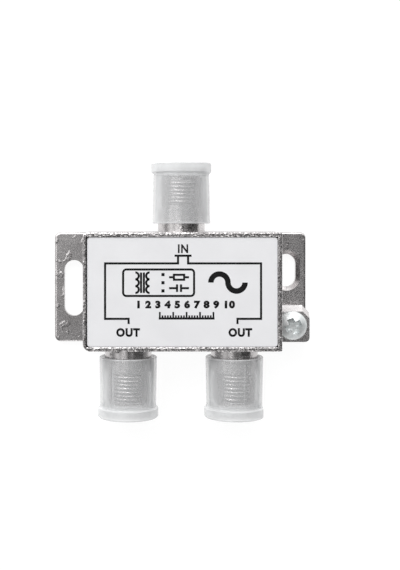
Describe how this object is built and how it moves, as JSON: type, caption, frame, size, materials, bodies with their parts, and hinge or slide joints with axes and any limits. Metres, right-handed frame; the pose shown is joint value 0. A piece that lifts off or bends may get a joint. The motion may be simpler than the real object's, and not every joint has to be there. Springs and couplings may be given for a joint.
{
  "type": "coaxial splitter",
  "caption": "Small die-cast box that splits one coaxial line, with threaded ports under milky dust caps, slotted ears and a ground screw.",
  "frame": {"origin": "middle of the back face, which rests on the surface or is screwed to the wall", "axes": "+X from the left ear to the right ear, +Y towards the input port, +Z out of the label"},
  "size_m": [0.056, 0.0552, 0.014],
  "materials": {
    "plated_zinc": "bright nickel over a slightly grainy die casting",
    "tinned_steel": "dull tin plate",
    "label_foil": "satin white foil with black print",
    "screw_steel": "zinc plate",
    "milky_polyethylene": "translucent, slightly waxy",
    "insulator_plastic": "natural white",
    "contact_bronze": "tin-washed bronze",
    "board_laminate": "paper laminate",
    "ferrite": "dull sintered grey",
    "enamelled_copper": "red-brown enamel",
    "resistor_enamel": "pale blue enamel",
    "capacitor_ceramic": "ochre dip coat"
  },
  "bodies": {
    "casing": {"housing": "plated_zinc", "back_cover": "tinned_steel", "face_label": "label_foil", "in_insulator": "insulator_plastic", "out_left_insulator": "insulator_plastic", "out_right_insulator": "insulator_plastic", "in_rear_insulator": "insulator_plastic", "out_left_rear_insulator": "insulator_plastic", "out_right_rear_insulator": "insulator_plastic", "in_contact": "contact_bronze", "out_left_contact": "contact_bronze", "out_right_contact": "contact_bronze", "circuit_board": "board_laminate", "matching_core": "ferrite", "matching_winding": "enamelled_copper", "splitter_core": "ferrite", "splitter_winding": "enamelled_copper", "balance_resistor": "resistor_enamel", "in_capacitor": "capacitor_ceramic"},
    "ground_screw": {"ground_screw": "screw_steel"},
    "in_cap": {"in_cap": "milky_polyethylene"},
    "out_left_cap": {"out_left_cap": "milky_polyethylene"},
    "out_right_cap": {"out_right_cap": "milky_polyethylene"}
  },
  "joints": [
    {"name": "ground_screw_turn", "type": "hinge", "parent": "casing", "child": "ground_screw", "pos_m": [0.02424, -0.0078, 0.0065], "axis": [0, 0, 1], "range_deg": [0, 1485]},
    {"name": "in_cap_pull", "type": "slide", "parent": "casing", "child": "in_cap", "axis": [0, 1, 0], "range_m": [0, 0.013]},
    {"name": "out_left_cap_pull", "type": "slide", "parent": "casing", "child": "out_left_cap", "axis": [0, -1, 0], "range_m": [0, 0.013]},
    {"name": "out_right_cap_pull", "type": "slide", "parent": "casing", "child": "out_right_cap", "axis": [0, -1, 0], "range_m": [0, 0.013]}
  ]
}
